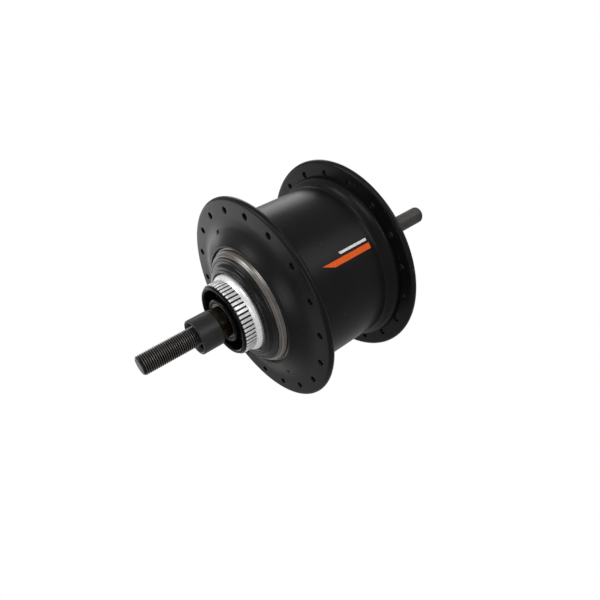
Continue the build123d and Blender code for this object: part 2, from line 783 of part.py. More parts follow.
sun_corners = pawl_corners(sun_pawl_pivot, sun_pawl_reach, sun_pawl_half, sun_pawl_lift)
folded_corners = pawl_corners(sun_pawl_pivot, sun_pawl_reach, sun_pawl_half, 0)
sun_names = ("sun_gear_1", "sun_gear_4", "sun_gear_3", "sun_gear_2")
sun_teeth = (sun_low_teeth,) + sun_steps_teeth
sun_planet_angles = (low_planet_angles[0],) + (high_planet_angles[0],) * 3
sun_locked = (True, True, False, False)
notch_count = 6
notch_face_gap = 0.8            # degrees between a raised pawl's tip and the notch face it holds
notch_floor = 12.0              # degrees of each notch's floor, and of the whole notch with its slope
notch_whole = 34.0
notch_inside_r = 6.5
free_notch_r = 7.6
low_face_angle = angle_at_radius(sun_corners[1], sun_corners[2], sun_bore_r) - notch_face_gap
high_face_angle = angle_at_radius(sun_corners[1], sun_corners[2], sun_notch_r) - notch_face_gap


def sun_notch(depth_r, step, side):
    """One notch in a sun's bore: an undercut face for the pawl's tip and a slope that folds the pawl."""
    notch = [
        polar(notch_inside_r, low_face_angle - step),
        polar(sun_bore_r, low_face_angle - step),
        polar(depth_r, high_face_angle - step),
        polar(depth_r, high_face_angle + notch_floor - step),
        polar(sun_bore_r, low_face_angle + notch_whole - step),
        polar(notch_inside_r, low_face_angle + notch_whole - step),
    ]
    return [(side * x, y) for x, y in notch]


for name, teeth, base_y, planet_angle, hub_r, side, locked in zip(
        sun_names, sun_teeth, sun_pawl_ys, sun_planet_angles, sun_hub_r, sun_pawl_sides, sun_locked):
    depth_r = sun_notch_r if locked else free_notch_r
    hub_top = base_y + tooth_width + sun_hub_overhang
    hub_width = tooth_width + 2 * sun_hub_overhang
    with BuildPart() as sun:
        with BuildSketch(across(base_y + tooth_width)):
            with BuildLine():
                Polyline(*outside_teeth(teeth, planet_angle + 180 / teeth), close=True)
            make_face()
        extrude(amount=tooth_width)
        with BuildSketch(across(hub_top)):
            Circle(hub_r)
        extrude(amount=hub_width)
        with BuildSketch(across(hub_top)):
            Circle(sun_bore_r)
            for notch in range(notch_count):
                with BuildLine():
                    Polyline(*sun_notch(depth_r, 360 / notch_count * notch, side), close=True)
                make_face()
        extrude(amount=hub_width, mode=Mode.SUBTRACT)
    save(sun.part, name)
    corners = sun_corners if locked else folded_corners
    pawl_top = base_y + (tooth_width + sun_pawl_length) / 2
    pawl(name.replace("gear", "pawl"), corners, sun_pawl_pivot, sun_pawl_heel_r, side, 0, pawl_top,
         sun_pawl_length)

# ---------------------------------------------------------------- output ring gear and its pawls
output_wall_bore_r = 30.6
output_r = 33.5
output_back = -13.0
output_front = 15.5
ring_pawl_length = 5.0
ring_pawl_front = -1.0
ring_pocket_floor = 31.35
ring_pocket_width = 8.2
output_wall_front = high_step_y[1] - 0.5
with BuildPart() as output_ring_gear:
    with BuildSketch(across(output_front)):
        Circle(output_r)
    extrude(amount=output_front - output_back)
    with BuildSketch(across(output_front)):
        with BuildLine():
            Polyline(*inside_teeth(high_ring_teeth, high_planet_angles[0]), close=True)
        make_face()
    extrude(amount=output_front - output_back, mode=Mode.SUBTRACT)
    with BuildSketch(across(output_wall_front)):
        Circle(output_wall_bore_r)
    extrude(amount=output_wall_front - output_back, mode=Mode.SUBTRACT)
    for angle in ring_pawl_angles:
        with BuildSketch(across(ring_pawl_front + pocket_clearance, angle - 90)):
            with Locations((0.1, output_r)):
                Rectangle(ring_pocket_width, 2 * (output_r - ring_pocket_floor))
        extrude(amount=ring_pawl_length + 2 * pocket_clearance, mode=Mode.SUBTRACT)
save(output_ring_gear.part, "output_ring_gear")

for number, angle in enumerate(ring_pawl_angles, start=1):
    pawl(f"ring_pawl_{number}", ring_corners, ring_pawl_pivot, ring_pawl_heel_r, 1, angle - 90,
         ring_pawl_front, ring_pawl_length)
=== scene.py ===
import math

import bmesh
import bpy
import numpy as np
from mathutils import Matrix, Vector


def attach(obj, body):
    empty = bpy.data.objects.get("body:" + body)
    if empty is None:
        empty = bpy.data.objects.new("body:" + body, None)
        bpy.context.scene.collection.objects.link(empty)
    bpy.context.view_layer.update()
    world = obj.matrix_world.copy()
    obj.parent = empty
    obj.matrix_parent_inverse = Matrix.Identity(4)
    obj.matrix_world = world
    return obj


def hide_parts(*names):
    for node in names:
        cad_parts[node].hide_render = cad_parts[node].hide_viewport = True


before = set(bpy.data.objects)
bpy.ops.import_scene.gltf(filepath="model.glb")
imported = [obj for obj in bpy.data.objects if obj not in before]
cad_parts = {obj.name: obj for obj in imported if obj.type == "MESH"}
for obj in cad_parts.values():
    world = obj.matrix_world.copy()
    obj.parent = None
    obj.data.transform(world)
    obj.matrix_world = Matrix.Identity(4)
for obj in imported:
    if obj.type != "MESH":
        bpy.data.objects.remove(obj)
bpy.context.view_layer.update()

# Sizes are in millimetres and become metres where a mesh is made. A place on the hub is a radius from
# the axle, a y along it and an angle in degrees from +X towards +Z.
MM = 0.001


def new_object(name, data):
    """Object that holds the data, put in the scene."""
    obj = bpy.data.objects.new(name, data)
    bpy.context.collection.objects.link(obj)
    return obj


# ---------------------------------------------------------------- camera
CAMERA_PLACE = (-0.1503, 0.1309, 0.1573)
CAMERA_AZIMUTH = math.radians(228.5)
CAMERA_ELEVATION = math.radians(43.65)
camera_data = bpy.data.cameras.new("camera")
camera_data.sensor_width = 36.0
camera_data.lens = 29.51
camera_data.shift_x = -0.00905
camera_data.shift_y = 0.03894
camera_data.clip_start = 0.01
camera_data.clip_end = 60.0
camera = new_object("camera", camera_data)
camera_aim = Vector((
    -math.sin(CAMERA_AZIMUTH) * math.cos(CAMERA_ELEVATION),
    math.cos(CAMERA_AZIMUTH) * math.cos(CAMERA_ELEVATION),
    -math.sin(CAMERA_ELEVATION),
))
camera.location = CAMERA_PLACE
camera.rotation_mode = "QUATERNION"
camera.rotation_quaternion = camera_aim.to_track_quat("-Z", "Y")
bpy.context.scene.camera = camera


# ---------------------------------------------------------------- profiles and meshes
ARC_STEPS = 4                   # straight runs in each rounded corner


def rounded(corners):
    """Profile points from (radius, y, rounding) corners: each rounded corner becomes a short arc."""
    points = []
    count = len(corners)
    for index, (radius, y, rounding) in enumerate(corners):
        here = np.array((radius, y), float)
        if rounding == 0:
            points.append(tuple(here))
            continue
        before = np.array(corners[index - 1][:2], float) - here
        after = np.array(corners[(index + 1) % count][:2], float) - here
        before_length = np.linalg.norm(before)
        after_length = np.linalg.norm(after)
        before /= before_length
        after /= after_length
        half = math.acos(max(-1.0, min(1.0, float(before @ after)))) / 2
        reach = min(rounding / math.tan(half), 0.48 * before_length, 0.48 * after_length)
        arc_r = reach * math.tan(half)
        middle = (before + after) / np.linalg.norm(before + after)
        centre = here + middle * arc_r / math.sin(half)
        start = here + before * reach - centre
        end = here + after * reach - centre
        turn = math.atan2(start[0] * end[1] - start[1] * end[0], float(start @ end))
        for step in range(ARC_STEPS + 1):
            angle = turn * step / ARC_STEPS
            cos_a = math.cos(angle)
            sin_a = math.sin(angle)
            points.append((centre[0] + start[0] * cos_a - start[1] * sin_a,
                           centre[1] + start[0] * sin_a + start[1] * cos_a))
    return points


def split_long(points, longest):
    """The closed profile with every run longer than this cut into equal stretches."""
    out = []
    for index, point in enumerate(points):
        following = points[(index + 1) % len(points)]
        length = math.dist(point, following)
        parts = max(1, math.ceil(length / longest))
        for part in range(parts):
            share = part / parts
            out.append((point[0] + (following[0] - point[0]) * share,
                        point[1] + (following[1] - point[1]) * share))
    return out


def to_object(name, vertices, faces, sharp=35.0):
    """Smooth-shaded object from vertices in millimetres, with edges sharper than the angle kept crisp."""
    mesh = bpy.data.meshes.new(name)
    mesh.from_pydata([tuple(v) for v in (np.asarray(vertices, float) * MM)], [], faces)
    mesh.update()
    tidy = bmesh.new()
    tidy.from_mesh(mesh)
    bmesh.ops.remove_doubles(tidy, verts=tidy.verts, dist=2e-7)
    bmesh.ops.dissolve_degenerate(tidy, edges=tidy.edges, dist=1e-7)
    loose = [vertex for vertex in tidy.verts if not vertex.link_faces]
    bmesh.ops.delete(tidy, geom=loose, context="VERTS")
    bmesh.ops.recalc_face_normals(tidy, faces=tidy.faces)
    tidy.to_mesh(mesh)
    tidy.free()
    mesh.shade_smooth()
    mesh.set_sharp_from_angle(angle=math.radians(sharp))
    return new_object(name, mesh)


def finish_piece(obj, material, body, slot, *nodes):
    """Give a piece its material and the body it rides on, and hide the CAD nodes it stands for; the slot is
    not used.
    """
    obj.data.materials.clear()
    obj.data.materials.append(material)
    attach(obj, body)
    if nodes:
        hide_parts(*nodes)


def place(radius, y, angle):
    return (radius * math.cos(angle), y, radius * math.sin(angle))


def ring_faces(rows, columns):
    """Quads of a grid of vertices that closes round the axle, and from its last row to its first."""
    faces = []
    for row in range(rows):
        below = row * columns
        above = ((row + 1) % rows) * columns
        for column in range(columns):
            right = (column + 1) % columns
            faces.append((below + column, below + right, above + right, above + column))
    return faces


def lathe(name, points, segments):
    """Closed ring of revolution about the axle from a closed profile of (radius, y) points."""
    vertices = [place(radius, y, 2 * math.pi * column / segments)
                for radius, y in points for column in range(segments)]
    return to_object(name, vertices, ring_faces(len(points), segments))


def around(name, profile, shape, sharp):
    """Closed ring whose radius changes round the axle: shape gives (angle, extra radius) samples."""
    vertices = []
    for radius, y in profile:
        for angle, offset in shape(radius, y):
            vertices.append(place(radius + offset, y, angle))
    return to_object(name, vertices, ring_faces(len(profile), len(vertices) // len(profile)), sharp)


# ---------------------------------------------------------------- materials
class Nodes:
    """Short way to build a node material."""

    def __init__(self, name):
        self.material = bpy.data.materials.new(name)
        self.material.use_nodes = True
        self.tree = self.material.node_tree
        self.shader = self.tree.nodes["Principled BSDF"]
        self.coordinates = self.tree.nodes.new("ShaderNodeTexCoord").outputs["Object"]

    def link(self, source, target):
        self.tree.links.new(source, target)

    def set(self, **sockets):
        for key, value in sockets.items():
            self.shader.inputs[key.replace("_", " ")].default_value = value

    def math(self, operation, first, second=None):
        node = self.tree.nodes.new("ShaderNodeMath")
        node.operation = operation
        for index, value in enumerate((first, second)):
            if value is None:
                continue
            if isinstance(value, (int, float)):
                node.inputs[index].default_value = value
            else:
                self.link(value, node.inputs[index])
        return node.outputs[0]

    def axes(self):
        """X, Y and Z of the place on the hub."""
        split = self.tree.nodes.new("ShaderNodeSeparateXYZ")
        self.link(self.coordinates, split.inputs[0])
        return split.outputs

    def radius(self):
        """Distance from the axle."""
        x, _, z = self.axes()
        return self.math("SQRT", self.math("ADD", self.math("MULTIPLY", x, x), self.math("MULTIPLY", z, z)))

    def noise(self, scale, detail=3.0, roughness=0.55):
        node = self.tree.nodes.new("ShaderNodeTexNoise")
        node.inputs["Scale"].default_value = scale
        node.inputs["Detail"].default_value = detail
        node.inputs["Roughness"].default_value = roughness
        self.link(self.coordinates, node.inputs["Vector"])
        return node.outputs["Fac"]

    def tool_lines(self, scale, detail, stretch):
        """Noise drawn out round the axle, as a lathe tool leaves it; it meets itself with no seam."""
        x, y, z = self.axes()
        radius = self.radius()
        join = self.tree.nodes.new("ShaderNodeCombineXYZ")
        self.link(radius, join.inputs[0])
        self.link(self.math("MULTIPLY", self.math("DIVIDE", x, radius), stretch), join.inputs[1])
        self.link(self.math("MULTIPLY", self.math("DIVIDE", z, radius), stretch), join.inputs[2])
        node = self.tree.nodes.new("ShaderNodeTexNoise")
        node.noise_dimensions = "4D"
        node.inputs["Scale"].default_value = scale
        node.inputs["Detail"].default_value = detail
        node.inputs["Roughness"].default_value = 0.6
        self.link(join.outputs[0], node.inputs["Vector"])
        self.link(y, node.inputs["W"])
        return node.outputs["Fac"]

    def spots(self, scale, share):
        """Small scattered round specks: 1 on a speck, 0 between."""
        node = self.tree.nodes.new("ShaderNodeTexVoronoi")
        node.inputs["Scale"].default_value = scale
        self.link(self.coordinates, node.inputs["Vector"])
        split = self.tree.nodes.new("ShaderNodeSeparateColor")
        self.link(node.outputs["Color"], split.inputs[0])
        pick = self.math("LESS_THAN", split.outputs[0], share)
        near = self.math("LESS_THAN", node.outputs["Distance"], 0.16)
        return self.math("MULTIPLY", pick, near)

    def ramp(self, value, low, high, low_value=0.0, high_value=1.0):
        node = self.tree.nodes.new("ShaderNodeMapRange")
        node.interpolation_type = "SMOOTHSTEP"
        self.link(value, node.inputs["Value"])
        node.inputs["From Min"].default_value = low
        node.inputs["From Max"].default_value = high
        node.inputs["To Min"].default_value = low_value
        node.inputs["To Max"].default_value = high_value
        return node.outputs["Result"]

    def mix(self, factor, first, second):
        """Colour between two: each is a colour or a socket."""
        node = self.tree.nodes.new("ShaderNodeMix")
        node.data_type = "RGBA"
        self.link(factor, node.inputs["Factor"])
        colours = [socket for socket in node.inputs if socket.type == "RGBA"]
        for socket, value in zip(colours, (first, second)):
            if isinstance(value, tuple):
                socket.default_value = (*value, 1.0)
            else:
                self.link(value, socket)
        return [socket for socket in node.outputs if socket.type == "RGBA"][0]

    def colour(self, value):
        self.link(value, self.shader.inputs["Base Color"])

    def rough(self, value):
        self.link(value, self.shader.inputs["Roughness"])

    def bumps(self, *layers):
        """Stack bump layers of (height, strength, distance in millimetres)."""
        previous = None
        for height, strength, distance in layers:
            node = self.tree.nodes.new("ShaderNodeBump")
            node.inputs["Strength"].default_value = strength
            node.inputs["Distance"].default_value = distance * MM
            self.link(height, node.inputs["Height"])
            if previous:
                self.link(previous, node.inputs["Normal"])
            previous = node.outputs["Normal"]
        self.link(previous, self.shader.inputs["Normal"])


def grey(value, warmth=0.0):
    """Neutral colour, or a brownish one where the warmth is over nought."""
    return (value * (1 + warmth), value, value * (1 - warmth))


RUBBED_RIM = (51.8, 52.2)       # paint starts to show rubbing, and is rubbed most


def painted_shell():
    """Satin black paint: faint orange peel, soft colour drift, dust, and a rubbed flange rim."""
    n = Nodes("shell_paint_satin_black")
    drift = n.noise(45, 4)
    peel = n.noise(1100, 2, 0.5)
    grain = n.noise(5200, 2, 0.6)
    dust = n.spots(420, 0.05)
    base = n.mix(n.ramp(drift, 0.3, 0.7), grey(0.0035), grey(0.0058))
    base = n.mix(n.math("MULTIPLY", dust, 0.25), base, grey(0.08))
    edge = n.ramp(n.radius(), RUBBED_RIM[0] * MM, RUBBED_RIM[1] * MM)
    rubbed = n.math("MULTIPLY", edge, n.ramp(n.noise(260, 5, 0.7), 0.58, 0.72))
    base = n.mix(n.math("MULTIPLY", rubbed, 0.45), base, grey(0.11))
    n.colour(base)
    n.rough(n.math("ADD", n.ramp(drift, 0.3, 0.7, 0.25, 0.31), n.math("MULTIPLY", grain, 0.05)))
    n.set(Specular_IOR_Level=0.15)
    n.bumps((peel, 0.06, 0.05), (grain, 0.05, 0.010))
    return n.material


def moulded(name, dark, light, roughness, scratch, shine):
    """Moulded plastic or rubber: fine grain, faint rubbed streaks round the axle and a little dust."""
    n = Nodes(name)
    drift = n.noise(160, 4)
    streak = n.tool_lines(2200, 3, 0.008)
    grain = n.noise(3800, 2)
    dust = n.spots(600, 0.06)
    base = n.mix(n.ramp(drift, 0.25, 0.75), grey(dark), grey(light))
    base = n.mix(n.math("MULTIPLY", dust, 0.25), base, grey(0.06 + 3 * light))
    n.colour(base)
    worn = n.math("MULTIPLY", n.ramp(streak, 0.5, 0.75), 0.10 * scratch)
    n.rough(n.math("ADD", n.ramp(drift, 0.2, 0.8, roughness - 0.03, roughness + 0.04), worn))
    n.bumps((streak, 0.02 * scratch, 0.02), (grain, 0.03, 0.010))
    n.set(Specular_IOR_Level=shine)
    return n.material


def turned_metal(name, dark, light, roughness, lines=0.5, stain=None, stain_share=0.35, roots=None,
                 metallic=1.0):
    """Turned or ground metal: fine tool lines round the axle, colour drift, small pits and stains.

    Roots gives painted shade in groove roots, darkening the metal inside a radius: it is (radius fully dark,
    radius clear, colour). A frosted plating, paler than bare metal, has metallic below 1."""
    n = Nodes(name)
    tool = n.tool_lines(3600, 3, 0.004)
    wide = n.tool_lines(900, 2, 0.004)
    drift = n.noise(120, 5, 0.6)
    pits = n.spots(900, 0.08)
    both = n.math("ADD", n.math("MULTIPLY", wide, 0.6), n.math("MULTIPLY", tool, 0.4))
    base = n.mix(n.ramp(both, 0.3, 0.7), dark, light)
    if stain:
        base = n.mix(n.ramp(drift, 1.0 - stain_share, 1.05 - stain_share * 0.6), base, stain)
    base = n.mix(n.math("MULTIPLY", pits, 0.4), base, tuple(value * 0.4 for value in dark))
    # painted shade: the metal inside a radius, down in the groove roots, is coloured dark
    if roots:
        base = n.mix(n.ramp(n.radius(), roots[0] * MM, roots[1] * MM), roots[2], base)
    n.colour(base)
    n.rough(n.math("ADD", n.ramp(tool, 0.25, 0.75, roughness - 0.04, roughness + 0.04),
                   n.math("MULTIPLY", n.ramp(drift, 0.4, 0.8), 0.06)))
    n.bumps((tool, 0.10 * lines, 0.02), (wide, 0.12 * lines, 0.04))
    n.set(Metallic=metallic)
    return n.material


THREAD_HIGHLIGHT_CREST = (4.55, 4.74)     # radii over which the painted crest highlight fades in
THREAD_ROOT = (4.3, 4.7)        # radii between which the brown oil fades out


def thread_steel():
    """Black oxide steel thread: a painted highlight on the crests over darker, oily roots."""
    n = Nodes("axle_steel_black_oxide")
    tool = n.tool_lines(3000, 2, 0.006)
    patch = n.noise(140, 3, 0.5)
    radius = n.radius()
    # painted highlight: the thread's crests are coloured lighter by their radius
    painted_crest_highlight = n.ramp(radius, THREAD_HIGHLIGHT_CREST[0] * MM, THREAD_HIGHLIGHT_CREST[1] * MM)
    painted_crest_highlight = n.math("MULTIPLY", painted_crest_highlight, n.ramp(patch, 0.25, 0.60, 0.75, 1.0))
    base = n.mix(n.ramp(patch, 0.3, 0.7), grey(0.015, 0.08), grey(0.030, 0.06))
    root = n.ramp(radius, THREAD_ROOT[0] * MM, THREAD_ROOT[1] * MM, 1.0, 0.0)
    brown = n.math("MULTIPLY", n.ramp(n.noise(75, 3), 0.52, 0.7), root)
    base = n.mix(n.math("MULTIPLY", brown, 0.5), base, (0.045, 0.030, 0.018))
    base = n.mix(n.math("MULTIPLY", painted_crest_highlight, 0.85), base, grey(0.26, 0.04))
    n.colour(base)
    n.rough(n.math("ADD", n.ramp(patch, 0.3, 0.7, 0.32, 0.40), n.math("MULTIPLY", tool, 0.05)))
    n.bumps((tool, 0.03, 0.02))
    n.set(Metallic=1.0)
    return n.material


def printed(name, colour, faded):
    """Printed paint on the shell: slightly uneven ink with pinholes and a satin coat."""
    n = Nodes(name)
    ink = n.noise(900, 4, 0.6)
    holes = n.spots(1500, 0.06)
    base = n.mix(n.ramp(ink, 0.35, 0.75), colour, faded)
    base = n.mix(n.math("MULTIPLY", holes, 0.5), base, grey(0.02))
    n.colour(base)
    n.rough(n.ramp(ink, 0.3, 0.7, 0.40, 0.50))
    n.bumps((ink, 0.08, 0.01), (n.noise(4200, 2), 0.05, 0.01))
    n.set(Specular_IOR_Level=0.20)
    return n.material


# painted shade for the boss's groove roots: radius fully dark, radius clear, colour
BOSS_GROOVE_SHADE = (17.55, 17.9, grey(0.012))
FROSTED = 0.45                  # how metallic the boss's pale plating is

paint = painted_shell()
steel_thread = thread_steel()
bare_end = turned_metal("axle_end_bare_steel", grey(0.13, 0.02), grey(0.24, 0.02), 0.38, 0.8,
                        (0.06, 0.045, 0.03), 0.42)
boss_alloy = turned_metal("boss_alloy_bright", grey(0.90), grey(0.97), 0.27, 0.25,
                          grey(0.70), 0.30, BOSS_GROOVE_SHADE, FROSTED)
ring_steel = turned_metal("end_ring_grey_brown", grey(0.19, 0.08), grey(0.32, 0.06), 0.30, 0.6,
                          (0.11, 0.085, 0.065), 0.34)
nut_steel = turned_metal("greased_nut_steel", (0.022, 0.016, 0.010), (0.070, 0.052, 0.034), 0.30, 0.4,
                         (0.012, 0.008, 0.005), 0.50)
cone_steel = turned_metal("cone_steel_dark", grey(0.050, 0.07), grey(0.10, 0.06), 0.30, 0.5,
                          (0.025, 0.018, 0.012), 0.42)
driver_steel = turned_metal("driver_steel_machined", grey(0.34), grey(0.52), 0.32, 0.5,
                            grey(0.19, 0.12), 0.34)
cup_steel = turned_metal("cup_steel_zinc", grey(0.36), grey(0.54), 0.36, 0.5, grey(0.28, 0.08), 0.36)
gear_steel = turned_metal("gear_steel_ground", grey(0.28, 0.01), grey(0.42, 0.01), 0.32, 0.5,
                          (0.16, 0.13, 0.09), 0.40)
carrier_steel = turned_metal("carrier_steel_phosphate", grey(0.13), grey(0.21), 0.42, 0.5,
                             (0.10, 0.085, 0.06), 0.40)
ball_steel = turned_metal("bearing_steel_polished", grey(0.62), grey(0.78), 0.12, 0.1,
                          (0.42, 0.38, 0.30), 0.30)
sheet_steel = turned_metal("pressed_sheet_steel", grey(0.40), grey(0.58), 0.34, 0.3,
                           (0.30, 0.25, 0.18), 0.35)
cap_plastic = moulded("cap_plastic_black", 0.0042, 0.0056, 0.20, 0.05, 0.20)
gloss_rubber = moulded("dust_cap_black_gloss", 0.0030, 0.0048, 0.15, 0.15, 0.09)
seal_rubber = moulded("seal_rubber_black", 0.010, 0.020, 0.42, 0.8, 0.25)
sleeve_plastic = moulded("sleeve_plastic_dark_grey", 0.013, 0.021, 0.34, 0.8, 0.30)
shift_plastic = moulded("shift_plastic_black", 0.012, 0.024, 0.38, 0.8, 0.30)
print_white = printed("printed_white", grey(0.82), grey(0.70))
print_orange = printed("printed_orange", (0.86, 0.115, 0.004), (0.74, 0.090, 0.004))


# ---------------------------------------------------------------- hub shell
SHELL_COLUMNS = 576
HOLE_COUNT = 18
LEFT_HOLE_START = 86.5          # angle of one left spoke hole; the right ones stand half a step round
HOLE_CIRCLE_R = 46.3
BARREL_R = 41.0
RIM_R = 52.2
RIM_ROUND = 1.55
FLANGE_WIDTH = 3.2
LEFT_FACE = 29.75
LEFT_BACK = LEFT_FACE - FLANGE_WIDTH
RIGHT_FACE = -27.25
RIGHT_BACK = RIGHT_FACE + FLANGE_WIDTH
PATCH_HALF = 6                  # shell columns on each side of a hole that its patch covers
LEFT_BAND = [43.8, 45.05, HOLE_CIRCLE_R, 47.55, 48.8]
RIGHT_BAND = [44.65, 45.45, HOLE_CIRCLE_R, 47.55, 48.8]
BAND_ROWS = len(LEFT_BAND)
LEFT_HOLE_RINGS = ((2.15, 0.0), (1.85, 0.0), (1.68, 0.05), (1.54, 0.17), (1.45, 0.42))
RIGHT_HOLE_RINGS = ((1.62, 0.0), (1.58, 0.03), (1.50, 0.13), (1.45, 0.32))
DIMPLE_ANGLES = (48, 230)
DIMPLE_R = 38.0
DIMPLE_STRAIGHT = 1.05          # half the straight stretch of a dimple
DIMPLE_END_R = 0.85
DIMPLE_DEPTH = 0.55
DIMPLE_REACH = 2.0              # no part of a dimple is further than this from its own radius


def arc(centre, radii, start, end, steps):
    """Profile points on an arc between two angles in degrees, from outwards towards +Y."""
    points = []
    for step in range(steps + 1):
        angle = math.radians(start + (end - start) * step / steps)
        points.append((centre[0] + radii[0] * math.cos(angle), centre[1] + radii[1] * math.sin(angle)))
    return points


def curve(points, steps):
    """Smooth run of profile points through the given ones."""
    padded = [points[0]] + list(points) + [points[-1]]
    out = []
    for index in range(1, len(padded) - 2):
        p0, p1, p2, p3 = (np.array(p, float) for p in padded[index - 1:index + 3])
        for step in range(steps):
            t = step / steps
            out.append(tuple(0.5 * (2 * p1 + (p2 - p0) * t + (2 * p0 - 5 * p1 + 4 * p2 - p3) * t ** 2
                                    + (3 * p1 - p0 - 3 * p2 + p3) * t ** 3)))
    return out + [tuple(points[-1])]


def shell_profile():
    """Closed profile of the shell, and the first row of each flange face that carries holes."""
    rim_r = (RIM_ROUND, FLANGE_WIDTH / 2)
    rows = {}
    points = [(30.2, 34.6), (30.25, 34.75), (30.4, 34.8), (31.0, 34.8), (31.2, 34.73)]
    points += curve([(31.32, 34.6), (31.9, 34.05), (34.6, 32.3), (38.3, 30.55), (40.9, 29.93),
                     (42.6, LEFT_FACE)], 9)
    rows["left_face"] = len(points)
    points += [(radius, LEFT_FACE) for radius in LEFT_BAND]
    points += [(49.7, LEFT_FACE), (50.4, LEFT_FACE)]
    points += arc((RIM_R - RIM_ROUND, LEFT_FACE - FLANGE_WIDTH / 2), rim_r, 82, -82, 13)
    points += [(50.4, LEFT_BACK), (49.7, LEFT_BACK)]
    rows["left_back"] = len(points)
    points += [(radius, LEFT_BACK) for radius in reversed(LEFT_BAND)]
    points += arc((43.55, LEFT_BACK - 2.55), (2.55, 2.55), 92, 180, 9)
    points += [(BARREL_R, 23.2 - 2.45 * step) for step in range(17)]
    points += curve([(BARREL_R, -17.2), (41.22, -18.2), (41.95, -19.1), (43.2, -20.2), (44.1, -21.5),
                     (44.5, -22.9), (44.55, RIGHT_BACK)], 4)
    rows["right_back"] = len(points)
    points += [(radius, RIGHT_BACK) for radius in RIGHT_BAND]
    points += [(49.7, RIGHT_BACK), (50.4, RIGHT_BACK)]
    points += arc((RIM_R - RIM_ROUND, RIGHT_FACE + FLANGE_WIDTH / 2), rim_r, 82, -82, 13)
    points += [(50.4, RIGHT_FACE), (49.7, RIGHT_FACE)]
    rows["right_face"] = len(points)
    points += [(radius, RIGHT_FACE) for radius in reversed(RIGHT_BAND)]
    points += [(43.3, RIGHT_FACE), (42.6, -27.4), (42.0, -27.8), (41.5, -28.4), (41.0, -29.5),
               (40.75, -30.6), (40.6, -30.9), (40.35, -31.0), (38.3, -31.0), (38.05, -30.85),
               (38.0, -30.5), (38.0, -20.0), (38.0, 0.0), (38.0, 23.5), (34.1, 25.6), (30.2, 27.8)]
    return points, rows


def dimple_depth(radius, degrees):
    """Depth of the two cast marks in the left cone at a place on it."""
    depth = 0.0
    for centre in DIMPLE_ANGLES:
        turn = (degrees - centre + 180) % 360 - 180
        along = max(0.0, abs(math.radians(turn)) * DIMPLE_R - DIMPLE_STRAIGHT)
        inside = DIMPLE_END_R - math.hypot(along, radius - DIMPLE_R)
        share = min(1.0, max(0.0, inside / 0.5))
        depth = max(depth, DIMPLE_DEPTH * share * share * (3 - 2 * share))
    return depth


def shell_vertex(point, column):
    degrees = LEFT_HOLE_START + 360 * column / SHELL_COLUMNS
    radius, y = point
    if y > LEFT_FACE + 0.2 and abs(radius - DIMPLE_R) < DIMPLE_REACH:
        y -= dimple_depth(radius, degrees)
    return place(radius, y, math.radians(degrees))


def hole_patch(vertices, faces, front_rows, back_rows, column, rings):
    """Fill the block round one spoke hole on both faces of a flange, and line the hole."""
    angle = math.radians(LEFT_HOLE_START + 360 * column / SHELL_COLUMNS)
    outwards = np.array((math.cos(angle), 0, math.sin(angle)))
    sideways = np.array((-math.sin(angle), 0, math.cos(angle)))
    centre = outwards * HOLE_CIRCLE_R
    block = ([(0, step) for step in range(-PATCH_HALF, PATCH_HALF + 1)]
             + [(row, PATCH_HALF) for row in range(1, BAND_ROWS)]
             + [(BAND_ROWS - 1, step) for step in range(PATCH_HALF - 1, -PATCH_HALF - 1, -1)]
             + [(row, -PATCH_HALF) for row in range(BAND_ROWS - 2, 0, -1)])
    front_y = vertices[front_rows[0] * SHELL_COLUMNS][1]
    back_y = vertices[back_rows[0] * SHELL_COLUMNS][1]
    side = 1 if front_y > back_y else -1
    loops = []
    for rows, inwards in ((front_rows, 1), (back_rows, -1)):
        border = [rows[row] * SHELL_COLUMNS + (column + step) % SHELL_COLUMNS for row, step in block]
        face_y = vertices[border[0]][1]
        loops_here = [border]
        for number, (radius, depth) in enumerate(rings):
            ring = []
            for index, corner in enumerate(border):
                seen = np.array(vertices[corner]) - centre
                direct = math.atan2(seen @ outwards, seen @ sideways)
                even = math.radians(-90 + (index - PATCH_HALF) * 360 / len(border))
                turn = (even - direct + math.pi) % (2 * math.pi) - math.pi
                bearing = direct + turn * min(1.0, (number + 1) / 2)
                spot = centre + radius * (sideways * math.cos(bearing) + outwards * math.sin(bearing))
                ring.append(len(vertices))
                vertices.append((spot[0], face_y - side * inwards * depth, spot[2]))
            loops_here.append(ring)
        loops.append(loops_here)
    chain = loops[0] + loops[1][::-1]
    for first, second in zip(chain, chain[1:]):
        for index in range(len(first)):
            following = (index + 1) % len(first)
            faces.append((first[index], first[following], second[following], second[index]))


